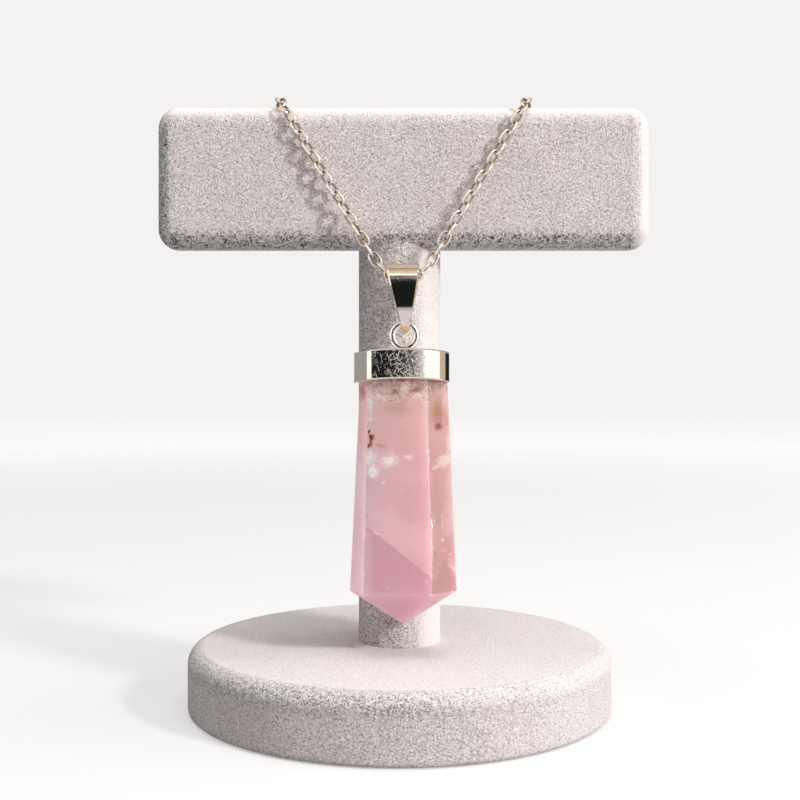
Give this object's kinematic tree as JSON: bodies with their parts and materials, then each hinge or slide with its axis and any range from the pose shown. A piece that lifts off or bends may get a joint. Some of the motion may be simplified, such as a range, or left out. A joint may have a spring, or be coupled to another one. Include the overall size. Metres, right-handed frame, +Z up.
{
  "type": "crystal pendant necklace on its t-bar display stand",
  "caption": "Pink pointed crystal in a gold cap, hanging by a tapered bail on a fine link chain over a padded T-bar stand.",
  "frame": {"origin": "on the floor under the middle of the crossbar", "axes": "+Z up, +X along the crossbar, the pendant hangs on the -Y side"},
  "size_m": [0.105, 0.0914, 0.1305],
  "materials": {
    "velvet": "short flocked velvet",
    "chain_metal": "polished pale gold plate",
    "cap_metal": "polished pale gold plate",
    "stone": "polished translucent pink stone with clouds and small rusty inclusions"
  },
  "bodies": {
    "stand": {"stand_base": "velvet", "stand_post": "velvet", "stand_bar": "velvet", "chain_pin": "chain_metal", "chain_left": "chain_metal", "chain_right": "chain_metal", "clasp_ring": "chain_metal"},
    "bail": {"bail": "cap_metal"},
    "pendant": {"end_cap": "cap_metal", "stone": "stone"}
  },
  "joints": [
    {"name": "bail_swing", "type": "hinge", "parent": "stand", "child": "bail", "pos_m": [0, -0.0141, 0.0915], "axis": [-1, 0, 0], "range_deg": [0, 80]},
    {"name": "pendant_swing", "type": "hinge", "parent": "bail", "child": "pendant", "pos_m": [0, -0.01487, 0.08168], "axis": [-1, 0, 0], "range_deg": [0, 90]}
  ]
}
